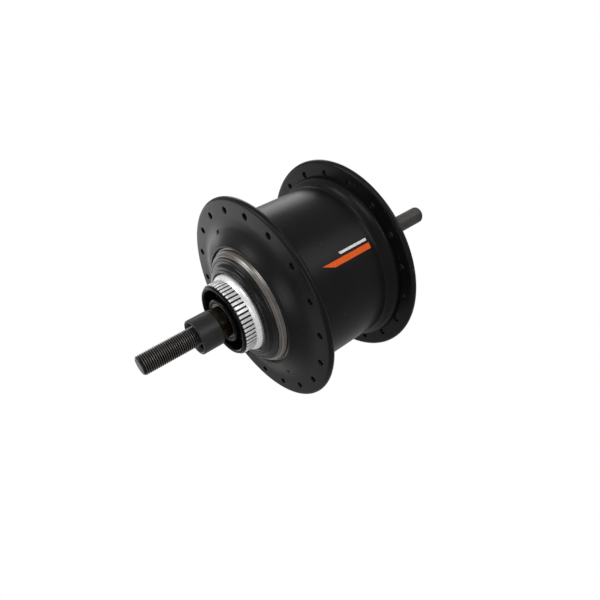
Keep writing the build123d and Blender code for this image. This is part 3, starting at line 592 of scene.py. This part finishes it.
def build_shell():
    points, rows = shell_profile()
    vertices = [shell_vertex(point, column) for point in points for column in range(SHELL_COLUMNS)]
    step = SHELL_COLUMNS // HOLE_COUNT
    flanges = (
        (rows["left_face"], rows["left_back"], 0, LEFT_HOLE_RINGS),
        (rows["right_face"], rows["right_back"], step // 2, RIGHT_HOLE_RINGS),
    )
    rising = {rows["left_face"]: 1, rows["right_back"]: 1, rows["left_back"]: -1, rows["right_face"]: -1}
    skipped = set()
    patches = []
    for face_row, back_row, first_column, rings in flanges:
        for hole in range(HOLE_COUNT):
            column = first_column + hole * step
            for row in (face_row, back_row):
                for down in range(BAND_ROWS - 1):
                    for across_step in range(-PATCH_HALF, PATCH_HALF):
                        skipped.add((row + down, (column + across_step) % SHELL_COLUMNS))
            front = [face_row + index for index in range(BAND_ROWS)][::rising[face_row]]
            back = [back_row + index for index in range(BAND_ROWS)][::rising[back_row]]
            patches.append((front, back, column, rings))
    faces = []
    for row in range(len(points)):
        for column in range(SHELL_COLUMNS):
            if (row, column) in skipped:
                continue
            right = (column + 1) % SHELL_COLUMNS
            below = row * SHELL_COLUMNS
            above = ((row + 1) % len(points)) * SHELL_COLUMNS
            faces.append((below + column, below + right, above + right, above + column))
    for front, back, column, rings in patches:
        hole_patch(vertices, faces, front, back, column, rings)
    return to_object("hub_shell_cast", vertices, faces, 32.0)


finish_piece(build_shell(), paint, "shell", "shell_paint", "hub_shell")


# ---------------------------------------------------------------- printed bands on the barrel
PRINT_PROUD = 0.035             # how far the print stands out of the barrel, and how deep it is rooted
PRINT_ROOT = -0.05


def band(name, material, y_start, y_end, top_angle, bottom_angle, taper):
    """Thin raised patch of print on the barrel: four-sided, its lower edge shorter by the taper."""
    along = 40
    around_steps = 16
    vertices = []
    for lift in (PRINT_PROUD, PRINT_ROOT):
        for row in range(around_steps + 1):
            share = row / around_steps
            degrees = top_angle + (bottom_angle - top_angle) * share
            low = y_start - taper * share
            for column in range(along + 1):
                y = low + (y_end - low) * column / along
                vertices.append(place(BARREL_R + lift, y, math.radians(degrees)))
    wide = along + 1
    layer = wide * (around_steps + 1)
    faces = []
    for row in range(around_steps):
        for column in range(along):
            first = row * wide + column
            faces.append((first, first + 1, first + wide + 1, first + wide))
            faces.append(tuple(layer + v for v in (first, first + wide, first + wide + 1, first + 1)))
    for row in range(around_steps):
        for edge in (row * wide, row * wide + along):
            faces.append((edge, edge + wide, layer + edge + wide, layer + edge))
    for column in range(along):
        for edge in (column, around_steps * wide + column):
            faces.append((edge, edge + 1, layer + edge + 1, layer + edge))
    finish_piece(to_object(name, vertices, faces), material, "shell", "shell_paint")


band("barrel_print_pale", print_white, 2.4, -14.5, 130.9, 132.6, 0.6)
band("barrel_print_orange", print_orange, 13.5, -15.0, 134.4, 138.2, 6.0)


# ---------------------------------------------------------------- axle
THREAD_R = 4.7625
THREAD_END_R = 4.1              # the end of each thread, hidden inside the hub
THREAD_PITCH = 0.977
THREAD_COLUMNS = 60
AXLE_TIP = 92.0
TIP_CHAMFER = 0.8
LEFT_THREAD_START = 50.0
RIGHT_THREAD_START = -60.0
THREAD_FORM = ((0.0, 0.06), (0.10, 0.0), (0.22, 0.02), (0.36, 0.30), (0.50, 0.515), (0.60, 0.5525),
               (0.70, 0.515), (0.86, 0.26))    # share of the pitch, and how far below the crest


def disc(vertices, faces, radii, y, columns):
    """Flat cap of rings from the outside in, closed with a fan at its middle."""
    first = len(vertices)
    for radius in radii:
        for column in range(columns):
            vertices.append(place(radius, y, 2 * math.pi * column / columns))
    for ring in range(len(radii) - 1):
        low = first + ring * columns
        for column in range(columns):
            right = (column + 1) % columns
            faces.append((low + column, low + right, low + columns + right, low + columns + column))
    vertices.append((0.0, y, 0.0))
    last = first + (len(radii) - 1) * columns
    for column in range(columns):
        faces.append((last + column, last + (column + 1) % columns, len(vertices) - 1))


def build_thread(name, start, tip):
    """Solid screw thread between a flat end inside the hub and the chamfered tip of the axle."""
    side = 1 if tip > start else -1
    length = abs(tip - start)
    turns = math.ceil(length / THREAD_PITCH) + 2
    rows = [(turn + share, depth) for turn in range(-1, turns) for share, depth in THREAD_FORM]
    vertices = []
    for along, depth in rows:
        for column in range(THREAD_COLUMNS):
            travel = (along + column / THREAD_COLUMNS) * THREAD_PITCH
            held = min(length, max(0.0, travel))
            radius = min(THREAD_R - depth, THREAD_R - TIP_CHAMFER + (length - held))
            if travel <= 0:
                radius = THREAD_END_R
            vertices.append(place(radius, start + side * held, 2 * math.pi * column / THREAD_COLUMNS))
    faces = []
    for row in range(len(rows) - 1):
        for column in range(THREAD_COLUMNS):
            first = row * THREAD_COLUMNS + column
            second = first + 1
            if column + 1 == THREAD_COLUMNS:
                second = (row + len(THREAD_FORM)) * THREAD_COLUMNS
            if second + THREAD_COLUMNS < len(vertices):
                faces.append((first, second, second + THREAD_COLUMNS, first + THREAD_COLUMNS))
    disc(vertices, faces, (THREAD_END_R,), start, THREAD_COLUMNS)
    tip_r = THREAD_R - TIP_CHAMFER
    disc(vertices, faces, (tip_r, tip_r * 0.8, tip_r * 0.4), tip, THREAD_COLUMNS)
    piece = to_object(name, vertices, faces, 50.0)
    finish_piece(piece, steel_thread, "axle_assembly", "axle_steel", "axle")
    piece.data.materials.append(bare_end)
    for polygon in piece.data.polygons:
        if abs(polygon.center[1] - tip * MM) < 1e-6:
            polygon.material_index = 1


def copy_between(name, node, y_low, y_high):
    """Copy of the stretch of a CAD node between two places along the axle, closed at both cuts."""
    mesh = bpy.data.meshes.new(name)
    cut = bmesh.new()
    cut.from_mesh(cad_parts[node].data)
    bmesh.ops.remove_doubles(cut, verts=cut.verts, dist=2e-7)
    for y, normal in ((y_low, (0, -1, 0)), (y_high, (0, 1, 0))):
        parts = cut.verts[:] + cut.edges[:] + cut.faces[:]
        found = bmesh.ops.bisect_plane(cut, geom=parts, plane_co=(0, y * MM, 0), plane_no=normal,
                                       clear_outer=True)
        edges = [part for part in found["geom_cut"] if isinstance(part, bmesh.types.BMEdge)]
        bmesh.ops.edgeloop_fill(cut, edges=edges)
    bmesh.ops.recalc_face_normals(cut, faces=cut.faces)
    cut.to_mesh(mesh)
    cut.free()
    mesh.shade_smooth()
    mesh.set_sharp_from_angle(angle=math.radians(30))
    return new_object(name, mesh)


build_thread("axle_left_thread", LEFT_THREAD_START, AXLE_TIP)
build_thread("axle_right_thread", RIGHT_THREAD_START, -AXLE_TIP)
axle_middle = copy_between("axle_middle", "axle", RIGHT_THREAD_START, LEFT_THREAD_START)
finish_piece(axle_middle, gear_steel, "axle_assembly", "axle_steel", "axle")


# ---------------------------------------------------------------- brake boss
BOSS_TEETH = 51
BOSS_TOOTH_ANGLE = 92.56        # middle of one tooth
BOSS_TIP_R = 18.0
BOSS_ROOT_R = 16.95
BOSS_FRONT = 49.05
BOSS_GROOVE_BACK = 43.15
BOSS_BORE_R = 15.95
# Half of one groove and land: distance round the boss from the groove's middle, and the radius there.
BOSS_GROOVE = ((0.0, BOSS_ROOT_R), (0.24, BOSS_ROOT_R + 0.01), (0.35, 17.06), (0.388, 17.25), (0.392, 17.80),
               (0.43, 17.93), (0.52, 18.0), (0.75, BOSS_TIP_R + 1), (1.1088, BOSS_TIP_R + 1))


def boss_columns():
    """Angles round the boss with the greatest radius that its grooves leave there."""
    pitch = 2 * math.pi / BOSS_TEETH
    columns = []
    for tooth in range(BOSS_TEETH):
        middle = math.radians(BOSS_TOOTH_ANGLE) + pitch * (tooth + 0.5)
        for away, limit in BOSS_GROOVE[::-1]:
            columns.append((middle - away / BOSS_TIP_R, limit))
        for away, limit in BOSS_GROOVE[1:-1]:
            columns.append((middle + away / BOSS_TIP_R, limit))
    return columns


def build_boss():
    columns = boss_columns()
    outline = [(BOSS_BORE_R, 30.0), (20.1, 30.0)]
    outline += rounded([(20.1, 34.0, 0), (20.1, 38.75, 0.35), (19.72, 39.25, 0.2), (19.6, 41.3, 0.25),
                        (19.15, 42.1, 0.3), (18.15, 42.95, 0.15), (18.0, 43.14, 0)])[1:]
    outline += [(BOSS_TIP_R, BOSS_GROOVE_BACK + 0.01)]
    outline += [(BOSS_TIP_R, y) for y in (43.5, 44.5, 45.5, 46.5, 47.5, 48.1)]
    outline += [(17.98, 48.3), (17.93, 48.42), (17.7, 48.7), (17.45, 48.97), (17.36, 49.03),
                (17.2, BOSS_FRONT)]
    outline += [(16.9, BOSS_FRONT), (16.1, BOSS_FRONT), (BOSS_BORE_R, 48.9)]

    def grooved(radius, y):
        if y < BOSS_GROOVE_BACK:
            return [(angle, 0.0) for angle, limit in columns]
        return [(angle, min(0.0, limit - radius)) for angle, limit in columns]

    return around("brake_boss_serrated", outline, grooved, 30.0)


finish_piece(build_boss(), boss_alloy, "shell", "boss_alloy", "brake_boss")


# ---------------------------------------------------------------- turned rings, caps and seals
def grooved_run(start, end, grooves, depth):
    """Corners of a straight run of a profile with fine V grooves turned into it."""
    start = np.array(start)
    pitch = (np.array(end) - start) / grooves
    inwards = np.array((-pitch[1], pitch[0])) / np.linalg.norm(pitch)
    corners = []
    for groove in range(grooves):
        land = start + pitch * groove
        corners.append((*land, 0))
        corners.append((*(land + pitch * 0.55), 0))
        corners.append((*(land + pitch * 0.78 + inwards * depth), 0))
    return corners + [(*end, 0)]


LEFT_END_CAP = [(20.2, 30.0, 0), (30.15, 30.0, 0), (30.15, 33.75, 0.15), (29.75, 34.0, 0.1)]
LEFT_END_CAP += [(29.45, 34.05, 0.1), (29.3, 33.85, 0.05), (29.15, 34.1, 0.1)]
LEFT_END_CAP += grooved_run((29.1, 34.75), (28.45, 35.95), 2, 0.22)
LEFT_END_CAP += grooved_run((28.2, 36.25), (27.2, 37.3), 2, 0.22)
LEFT_END_CAP += [(26.92, 37.38, 0.06), (26.92, 35.2, 0), (20.2, 35.2, 0)]
LEFT_SEAL_CAP = [
    (20.25, 35.25, 0), (26.85, 35.25, 0), (26.85, 37.62, 0.25), (26.35, 37.95, 0.25), (25.5, 38.0, 0.1),
    (25.4, 37.85, 0.05), (25.15, 38.1, 0.1), (24.1, 38.35, 0.25), (23.68, 38.7, 0.2), (23.5, 39.85, 0.25),
    (23.05, 40.2, 0.25), (21.95, 40.38, 0.2), (21.6, 40.75, 0.15), (20.7, 40.9, 0.2), (20.25, 40.6, 0.15),
]
LEFT_DUST_CAP = [
    (11.3, 41.3, 0), (15.9, 41.3, 0), (15.9, 49.1, 0), (17.0, 49.1, 0.05), (17.18, 49.3, 0.12),
    (17.1, 49.62, 0.15), (16.65, 49.75, 0.18), (15.95, 49.75, 0.25), (15.5, 49.45, 0.3), (15.2, 48.4, 0.5),
    (15.0, 42.75, 0.5), (14.4, 42.2, 0.5), (11.45, 42.2, 0.12), (11.3, 42.05, 0),
]
LEFT_CONE = [
    (4.5, 33.1, 0), (9.1, 33.1, 0.2), (9.6, 33.6, 0.2), (9.6, 41.3, 0.1), (9.1, 41.3, 0),
    (9.1, 49.1, 0.15), (8.7, 49.5, 0.15), (4.5, 49.5, 0),
]
LEFT_CONE_SEAL = [
    (9.15, 41.4, 0), (10.4, 41.4, 0.1), (10.88, 41.9, 0.15), (10.88, 49.3, 0.3), (10.45, 49.72, 0.25),
    (9.95, 49.74, 0.1), (9.9, 49.6, 0.04), (9.15, 49.6, 0),
]
SLEEVE_CENTRE_Z = -0.994
SPACER_SLEEVE = [
    (6.6, 55.9, 0.5), (7.55, 54.25, 0.15), (7.75, 54.15, 0.1), (8.35, 54.15, 0.12), (8.65, 54.45, 0.15),
    (8.65, 64.6, 0.2), (8.35, 64.93, 0.18), (7.75, 64.93, 0.1), (7.55, 64.83, 0.15), (6.6, 63.2, 0.5),
]
DRIVER_DUST_CAP = [
    (20.05, -34.3, 0), (33.6, -34.3, 0.3), (36.0, -34.7, 0.3), (36.38, -35.2, 0.35), (36.15, -35.78, 0.25),
    (33.4, -36.25, 0.6), (24.6, -36.6, 0.8), (22.7, -38.35, 0.35), (20.05, -38.4, 0.15),
]
DRIVER_END_SEAL = [
    (12.6, -50.3, 0), (13.55, -50.3, 0), (13.55, -53.1, 0), (15.55, -53.1, 0.12), (15.58, -54.6, 0.2),
    (15.2, -54.98, 0.2), (12.65, -54.98, 0.1),
]
RIGHT_CONE = [
    (4.5, -42.1, 0), (8.6, -42.1, 0.2), (9.5, -43.0, 0.3), (9.5, -51.95, 0.15), (8.2, -52.2, 0),
    (8.2, -59.65, 0.15), (7.8, -60.0, 0.15), (4.5, -60.0, 0),
]
RIGHT_WASHER = [(4.5, -60.06, 0), (8.38, -60.06, 0.12), (8.38, -61.24, 0.12), (4.5, -61.24, 0)]

# Piece, profile, longest run, segments round the axle, material, body, slot and CAD node.
TURNED = (
    ("left_end_ring", LEFT_END_CAP, 0.6, 288,
     ring_steel, "shell", "ring_steel", "left_end_cap"),
    ("left_seal_cap_moulded", LEFT_SEAL_CAP, 0.6, 256,
     cap_plastic, "shell", "black_plastic", "left_seal_cap"),
    ("left_dust_cap_gloss", LEFT_DUST_CAP, 0.8, 192,
     gloss_rubber, "shell", "black_plastic", "left_dust_cap"),
    ("left_cone_ground", LEFT_CONE, 1.0, 128,
     cone_steel, "axle_assembly", "greased_steel", "left_cone"),
    ("left_cone_seal_lip", LEFT_CONE_SEAL, 0.8, 128,
     gloss_rubber, "axle_assembly", "seal_rubber", "left_cone_seal"),
    ("driver_dust_cap_moulded", DRIVER_DUST_CAP, 0.8, 256,
     cap_plastic, "driver", "black_plastic", "driver_dust_cap"),
    ("driver_end_seal_lip", DRIVER_END_SEAL, 0.6, 160,
     seal_rubber, "driver", "seal_rubber", "driver_end_seal"),
    ("right_cone_ground", RIGHT_CONE, 1.0, 128,
     cone_steel, "axle_assembly", "greased_steel", "right_cone"),
    ("right_washer_ground", RIGHT_WASHER, 1.0, 128,
     cone_steel, "axle_assembly", "greased_steel", "right_lock_washer"),
)
for name, corners, longest, segments, material, body, slot, node in TURNED:
    ring = lathe(name, split_long(rounded(corners), longest), segments)
    finish_piece(ring, material, body, slot, node)

sleeve = lathe("spacer_sleeve_moulded", split_long(rounded(SPACER_SLEEVE), 0.8), 160)
for vertex in sleeve.data.vertices:
    vertex.co.z += SLEEVE_CENTRE_Z * MM
finish_piece(sleeve, sleeve_plastic, "axle_assembly", "sleeve_plastic", "spacer_sleeve")


# ---------------------------------------------------------------- hex nuts
NUT_FLAT_R = 7.5
NUT_BORE_R = 4.5
NUT_CORNER_ROUND = 0.25
NUT_CHAMFER_R = 7.35            # where the end chamfer starts on each face
NUT_CHAMFER_SLOPE = 1.9
NUT_FACE_R = 6.0
NUT_COLUMNS = 180
BIG_R = 9.0                     # marks the rows that follow the hexagon


def hex_radius(angle, turn):
    """Radius of the hexagon's outline, its corners a little rounded."""
    local = (angle - turn + math.pi / 6) % (math.pi / 3) - math.pi / 6
    sharp = NUT_FLAT_R / math.cos(local)
    corner = NUT_FLAT_R / math.cos(math.pi / 6)
    return min(sharp, corner - NUT_CORNER_ROUND * (1 - 0.4 * (math.pi / 6 - abs(local))))


def build_nut(name, back, front, turn, material, slot, node):
    side = 1 if front > back else -1
    steps = (0.0, 0.04, 0.10, 0.18, 0.28, 0.40, 0.55, 0.75)
    outside = [(BIG_R, back + side * step) for step in steps]
    outside += [(BIG_R, back + (front - back) * share) for share in (0.3, 0.5, 0.7)]
    outside += [(BIG_R, front - side * step) for step in reversed(steps)]
    profile = [(NUT_BORE_R, back), (NUT_FACE_R, back)] + outside
    profile += [(NUT_FACE_R, front), (5.3, front), (5.0, front - side * 0.12),
                (NUT_BORE_R, front - side * 0.5)]

    def shape(radius, y):
        samples = []
        for column in range(NUT_COLUMNS):
            angle = 2 * math.pi * column / NUT_COLUMNS
            offset = 0.0
            if radius == BIG_R:
                inset = min(abs(y - front), abs(y - back))
                chamfer = NUT_CHAMFER_R + inset * NUT_CHAMFER_SLOPE
                offset = min(hex_radius(angle, turn), chamfer) - radius
            samples.append((angle, offset))
        return samples

    finish_piece(around(name, profile, shape, 26.0), material, "axle_assembly", slot, node)


LEFT_NUT_TURN = math.radians(50)
RIGHT_NUT_TURN = math.radians(30)
build_nut("left_lock_nut_hex", 49.66, 54.09, LEFT_NUT_TURN, nut_steel, "greased_steel", "left_lock_nut")
build_nut("right_lock_nut_hex", -61.31, -66.49, RIGHT_NUT_TURN, nut_steel, "greased_steel", "right_lock_nut")


# ---------------------------------------------------------------- materials of the CAD pieces
CAD_FINISHES = {
    "driver": driver_steel,
    "right_ball_cup": cup_steel,
    "shift_actuator": shift_plastic,
    "left_ball_cup": cup_steel,
    "clutch_cage": sheet_steel,
    "clutch_ring": gear_steel,
    "clutch_rollers": ball_steel,
    "ratchet_ring": gear_steel,
    "planet_carrier": carrier_steel,
    "output_ring_gear": gear_steel,
    "reduction_ring_gear": gear_steel,
    "step_planet_pins": ball_steel,
    "reduction_planet_pins": ball_steel,
}
ENDINGS = {"_balls": ball_steel, "_ball_retainer": sheet_steel}
for node_name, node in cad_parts.items():
    if node.hide_render:
        continue
    finish = CAD_FINISHES.get(node_name, gear_steel)
    for ending, other in ENDINGS.items():
        if node_name.endswith(ending):
            finish = other
    if node.material_slots:
        for material_slot in node.material_slots:
            material_slot.material = finish
    else:
        node.data.materials.append(finish)


# ---------------------------------------------------------------- floor, light and finish
FLOOR_HEIGHT = -0.70
FLOOR_HALF = 14.0
BACKDROP_LIGHT = 1.0            # the pale floor and surround as they are seen
FLOOR_GLOW = 0.48               # what they give to the object
SURROUND_GLOW = 0.50


def seen_and_cast(tree, seen, cast):
    """Shader that looks one way itself and lights the object another way."""
    path = tree.nodes.new("ShaderNodeLightPath")
    blend = tree.nodes.new("ShaderNodeMixShader")
    tree.links.new(path.outputs["Is Camera Ray"], blend.inputs[0])
    tree.links.new(cast.outputs[0], blend.inputs[1])
    tree.links.new(seen.outputs[0], blend.inputs[2])
    return blend.outputs[0]


def glow(tree, kind, strength):
    node = tree.nodes.new(kind)
    node.inputs["Color"].default_value = (1, 1, 1, 1)
    node.inputs["Strength"].default_value = strength
    return node


def build_floor():
    mesh = bpy.data.meshes.new("floor")
    signs = ((-1, -1), (1, -1), (1, 1), (-1, 1))
    corners = [(x * FLOOR_HALF, y * FLOOR_HALF, FLOOR_HEIGHT) for x, y in signs]
    mesh.from_pydata(corners, [], [(0, 1, 2, 3)])
    floor = new_object("floor", mesh)
    finish = bpy.data.materials.new("floor_pale")
    finish.use_nodes = True
    tree = finish.node_tree
    seen = glow(tree, "ShaderNodeEmission", BACKDROP_LIGHT)
    cast = glow(tree, "ShaderNodeEmission", FLOOR_GLOW)
    tree.links.new(seen_and_cast(tree, seen, cast), tree.nodes["Material Output"].inputs["Surface"])
    mesh.materials.append(finish)


def build_surround():
    world = bpy.context.scene.world or bpy.data.worlds.new("studio")
    bpy.context.scene.world = world
    world.use_nodes = True
    tree = world.node_tree
    seen = glow(tree, "ShaderNodeBackground", BACKDROP_LIGHT)
    cast = glow(tree, "ShaderNodeBackground", SURROUND_GLOW)
    tree.links.new(seen_and_cast(tree, seen, cast), tree.nodes["World Output"].inputs["Surface"])


def softbox(name, place_at, width, height, brightness):
    """Large even light that faces the middle of the hub and isn't seen itself."""
    data = bpy.data.lights.new(name, "AREA")
    data.shape = "RECTANGLE"
    data.size = width
    data.size_y = height
    data.energy = brightness * math.pi * width * height
    light = new_object(name, data)
    light.location = place_at
    light.rotation_mode = "QUATERNION"
    light.rotation_quaternion = (-Vector(place_at)).to_track_quat("-Z", "Y")
    light.visible_camera = False


build_floor()
build_surround()
bpy.context.scene.view_settings.view_transform = "Standard"
# Name, place, width, height and brightness.
SOFTBOXES = (
    ("key_softbox", (-0.65, -0.45, 0.95), 0.9, 0.6, 2.0),
    ("top_softbox", (-0.10, 0.45, 1.15), 0.6, 0.4, 3.4),
    ("rim_softbox", (0.60, 0.80, 0.50), 0.35, 0.6, 4.2),
    ("low_softbox", (0.95, 0.35, -0.52), 0.6, 0.5, 1.5),
    ("front_softbox", (-0.12, 1.15, -0.05), 0.35, 0.35, 4.0),
    ("back_softbox", (0.95, -0.60, 0.24), 0.6, 0.5, 2.0),
)
for softbox_row in SOFTBOXES:
    softbox(*softbox_row)
